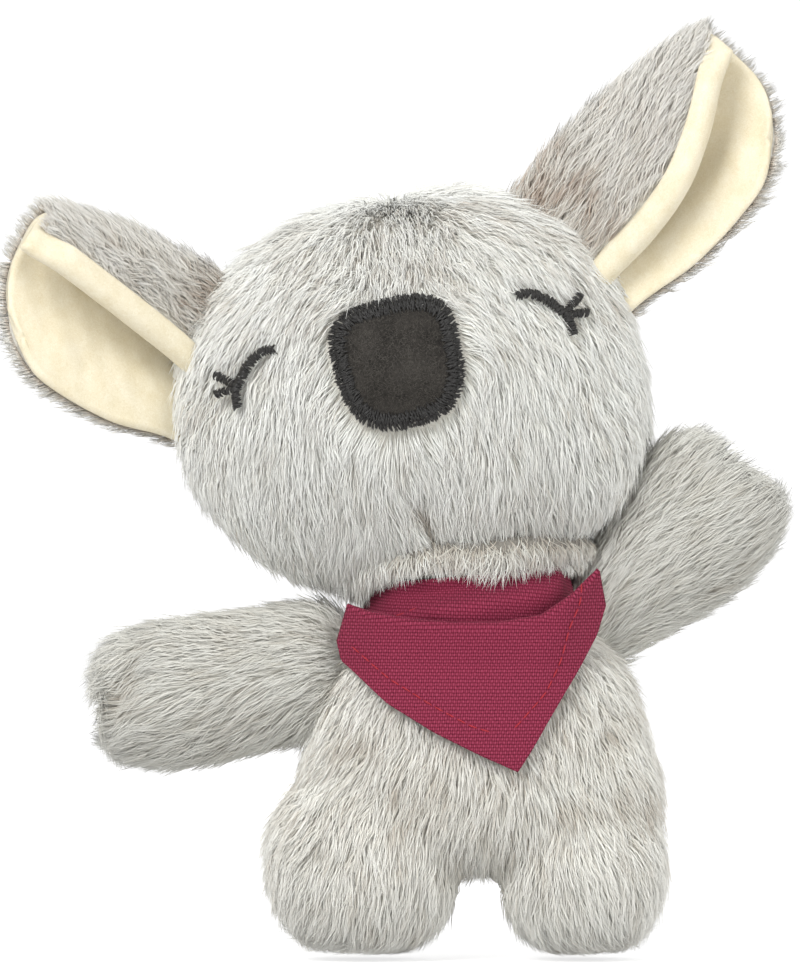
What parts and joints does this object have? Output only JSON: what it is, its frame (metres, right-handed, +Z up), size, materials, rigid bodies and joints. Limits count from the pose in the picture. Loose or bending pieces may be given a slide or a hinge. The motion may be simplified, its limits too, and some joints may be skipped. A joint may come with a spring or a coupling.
{
  "type": "plush koala",
  "caption": "Small standing plush koala with long grey pile, lined ears, a felt nose, stitched closed eyes and a woven neck bandana; head, arms, ears and cloth corner move.",
  "frame": {"origin": "on the floor under the middle of the standing toy's outer box", "axes": "+Z up, the face looks along -Y, +X towards the toy's left side"},
  "size_m": [0.1205, 0.0539, 0.149],
  "materials": {
    "grey_plush": "long silky pile, light grey with darker roots",
    "cream_fleece": "short velvety cream fleece",
    "black_felt": "matt charcoal felt",
    "black_thread": "satin stitched thread with a slight sheen",
    "seam_thread": "grey sewing thread",
    "burgundy_cloth": "plain woven burgundy cloth with red stitched hems",
    "fibre_fill": "white polyester fibre"
  },
  "bodies": {
    "torso": {"body_front_panel": "grey_plush", "body_back_panel": "grey_plush", "body_stuffing": "fibre_fill", "right_leg_cover": "grey_plush", "right_leg_stuffing": "fibre_fill", "left_leg_cover": "grey_plush", "left_leg_stuffing": "fibre_fill", "bandana_collar": "burgundy_cloth"},
    "neck": {"neck_stuffing": "fibre_fill"},
    "neck_ring": {"neck_seam": "seam_thread"},
    "head": {"head_front_panel": "grey_plush", "head_back_panel": "grey_plush", "head_stuffing": "fibre_fill", "nose_patch": "black_felt", "nose_border": "black_thread", "right_eye_stitching": "black_thread", "left_eye_stitching": "black_thread"},
    "right_ear": {"right_ear_outer": "grey_plush", "right_ear_lining": "cream_fleece"},
    "left_ear": {"left_ear_outer": "grey_plush", "left_ear_lining": "cream_fleece"},
    "right_shoulder": {"right_shoulder_seam": "seam_thread"},
    "right_arm": {"right_arm_cover": "grey_plush", "right_arm_stuffing": "fibre_fill"},
    "left_shoulder": {"left_shoulder_seam": "seam_thread"},
    "left_arm": {"left_arm_cover": "grey_plush", "left_arm_stuffing": "fibre_fill"},
    "bandana_corner": {"bandana_flap": "burgundy_cloth"}
  },
  "joints": [
    {"name": "head_turn", "type": "hinge", "parent": "torso", "child": "neck", "pos_m": [0.0102, 0.0015, 0.0584], "axis": [0, 0, 1], "range_deg": [-30, 30], "stiffness_Nm_per_rad": 0.06},
    {"name": "head_tilt", "type": "hinge", "parent": "neck", "child": "neck_ring", "pos_m": [0.0102, 0.0015, 0.0584], "axis": [0, 1, 0], "range_deg": [-6, 3], "stiffness_Nm_per_rad": 0.3},
    {"name": "head_nod", "type": "hinge", "parent": "neck_ring", "child": "head", "pos_m": [0.0102, 0.0015, 0.0584], "axis": [1, 0, 0], "range_deg": [-10, 6], "stiffness_Nm_per_rad": 0.3},
    {"name": "right_ear_fold", "type": "hinge", "parent": "head", "child": "right_ear", "pos_m": [-0.03175, 0.0027, 0.09809], "axis": [0.5097, -0.0296, 0.8598], "range_deg": [-20, 20], "stiffness_Nm_per_rad": 0.02},
    {"name": "left_ear_fold", "type": "hinge", "parent": "head", "child": "left_ear", "pos_m": [0.02803, 0.0027, 0.11492], "axis": [0.7409, 0.0691, -0.6681], "range_deg": [-20, 20], "stiffness_Nm_per_rad": 0.02},
    {"name": "right_arm_swing", "type": "hinge", "parent": "torso", "child": "right_shoulder", "pos_m": [-0.0116, 0.001, 0.045], "axis": [0, 0, 1], "range_deg": [-14, 14], "stiffness_Nm_per_rad": 0.04},
    {"name": "right_arm_raise", "type": "hinge", "parent": "right_shoulder", "child": "right_arm", "pos_m": [-0.0116, 0.001, 0.045], "axis": [0, 1, 0], "range_deg": [-14, 22], "stiffness_Nm_per_rad": 0.04},
    {"name": "left_arm_swing", "type": "hinge", "parent": "torso", "child": "left_shoulder", "pos_m": [0.0326, 0.0032, 0.0504], "axis": [0, 0, -1], "range_deg": [-14, 14], "stiffness_Nm_per_rad": 0.04},
    {"name": "left_arm_lower", "type": "hinge", "parent": "left_shoulder", "child": "left_arm", "pos_m": [0.0326, 0.0032, 0.0504], "axis": [0, 1, 0], "range_deg": [0, 45], "stiffness_Nm_per_rad": 0.04},
    {"name": "bandana_lift", "type": "hinge", "parent": "torso", "child": "bandana_corner", "pos_m": [0.0114, -0.0158, 0.0544], "axis": [-1, 0, 0], "range_deg": [0, 30]}
  ]
}
